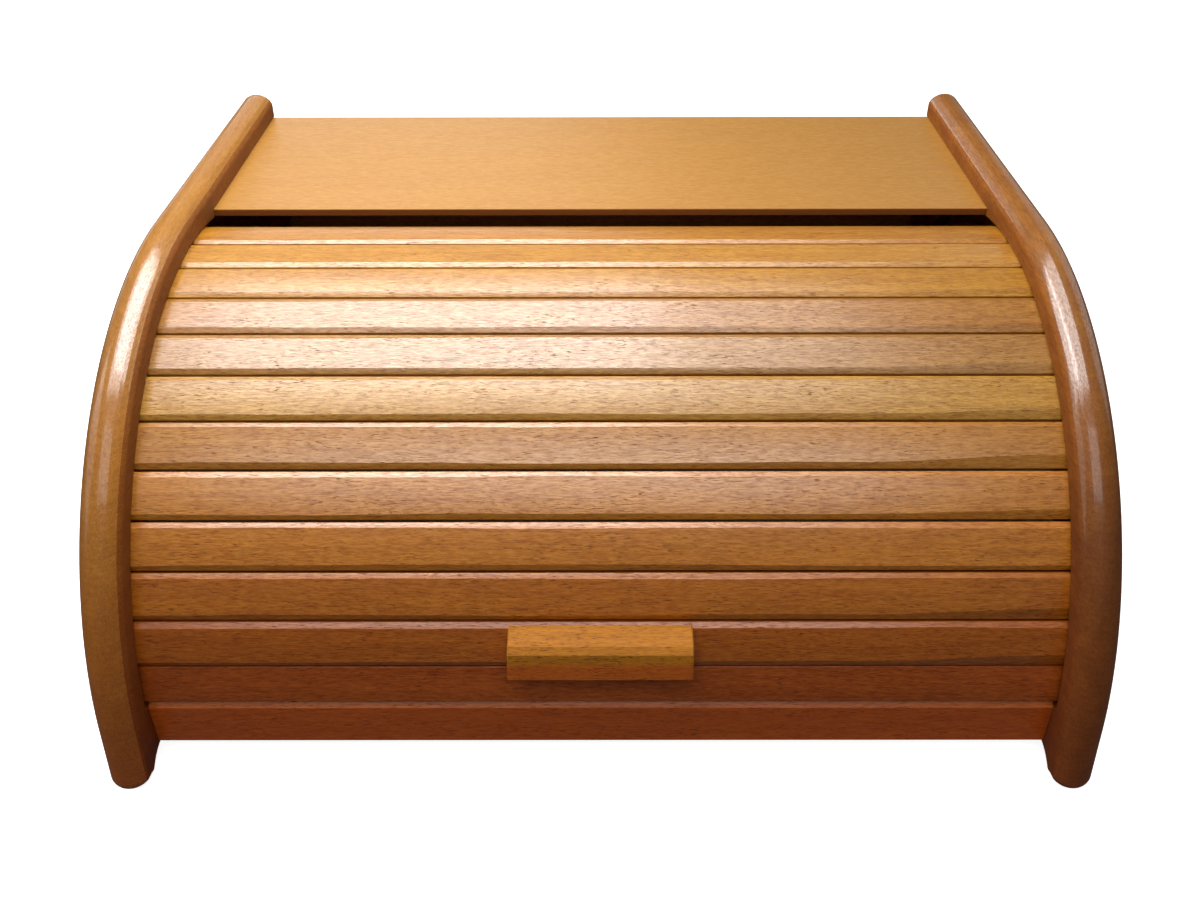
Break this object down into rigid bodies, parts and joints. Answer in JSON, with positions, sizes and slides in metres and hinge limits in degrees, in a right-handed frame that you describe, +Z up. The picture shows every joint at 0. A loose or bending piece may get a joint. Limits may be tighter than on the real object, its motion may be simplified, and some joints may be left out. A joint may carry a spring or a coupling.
{
  "type": "roll-top bread box",
  "caption": "Wooden roll-top bread box: rounded side panels, a flat top board, and a slatted shutter with a bar handle that rolls up and back in grooves.",
  "frame": {"origin": "centre of the footprint, on the surface the feet stand on", "axes": "+Z up; the shutter faces -Y and rolls back towards +Y; +X is to the right for someone facing the shutter"},
  "size_m": [0.383, 0.3084, 0.169],
  "materials": {
    "panel_wood": "satin lacquer over stained beech",
    "board_wood": "satin lacquer over stained beech",
    "back_wood": "thin plywood, clear lacquer",
    "rail_wood": "satin lacquer over stained beech",
    "slat_wood": "satin lacquer over stained beech",
    "handle_wood": "satin lacquer over stained beech",
    "dowel_wood": "bare beech",
    "canvas": "woven cotton",
    "screw_steel": "zinc plated"
  },
  "bodies": {
    "case": {"left_side_panel": "panel_wood", "right_side_panel": "panel_wood", "top_board": "board_wood", "base_board": "board_wood", "back_panel": "back_wood", "front_rail": "rail_wood", "rear_bottom_rail": "rail_wood", "rear_top_rail": "rail_wood", "front_rail_dowels": "dowel_wood", "rear_rail_dowels": "dowel_wood", "back_panel_screws": "screw_steel"},
    "shutter": {"slat_01": "slat_wood", "slat_02": "slat_wood", "slat_03": "slat_wood", "slat_04": "slat_wood", "slat_05": "slat_wood", "slat_06": "slat_wood", "slat_07": "slat_wood", "slat_08": "slat_wood", "slat_09": "slat_wood", "slat_10": "slat_wood", "slat_11": "slat_wood", "slat_12": "slat_wood", "shutter_canvas": "canvas", "handle": "handle_wood", "handle_screws": "screw_steel"}
  },
  "joints": [
    {"name": "shutter_roll", "type": "hinge", "parent": "case", "child": "shutter", "pos_m": [0, 0.00745, 0.0091], "axis": [-1, 0, 0], "range_deg": [0, 68.4]}
  ]
}
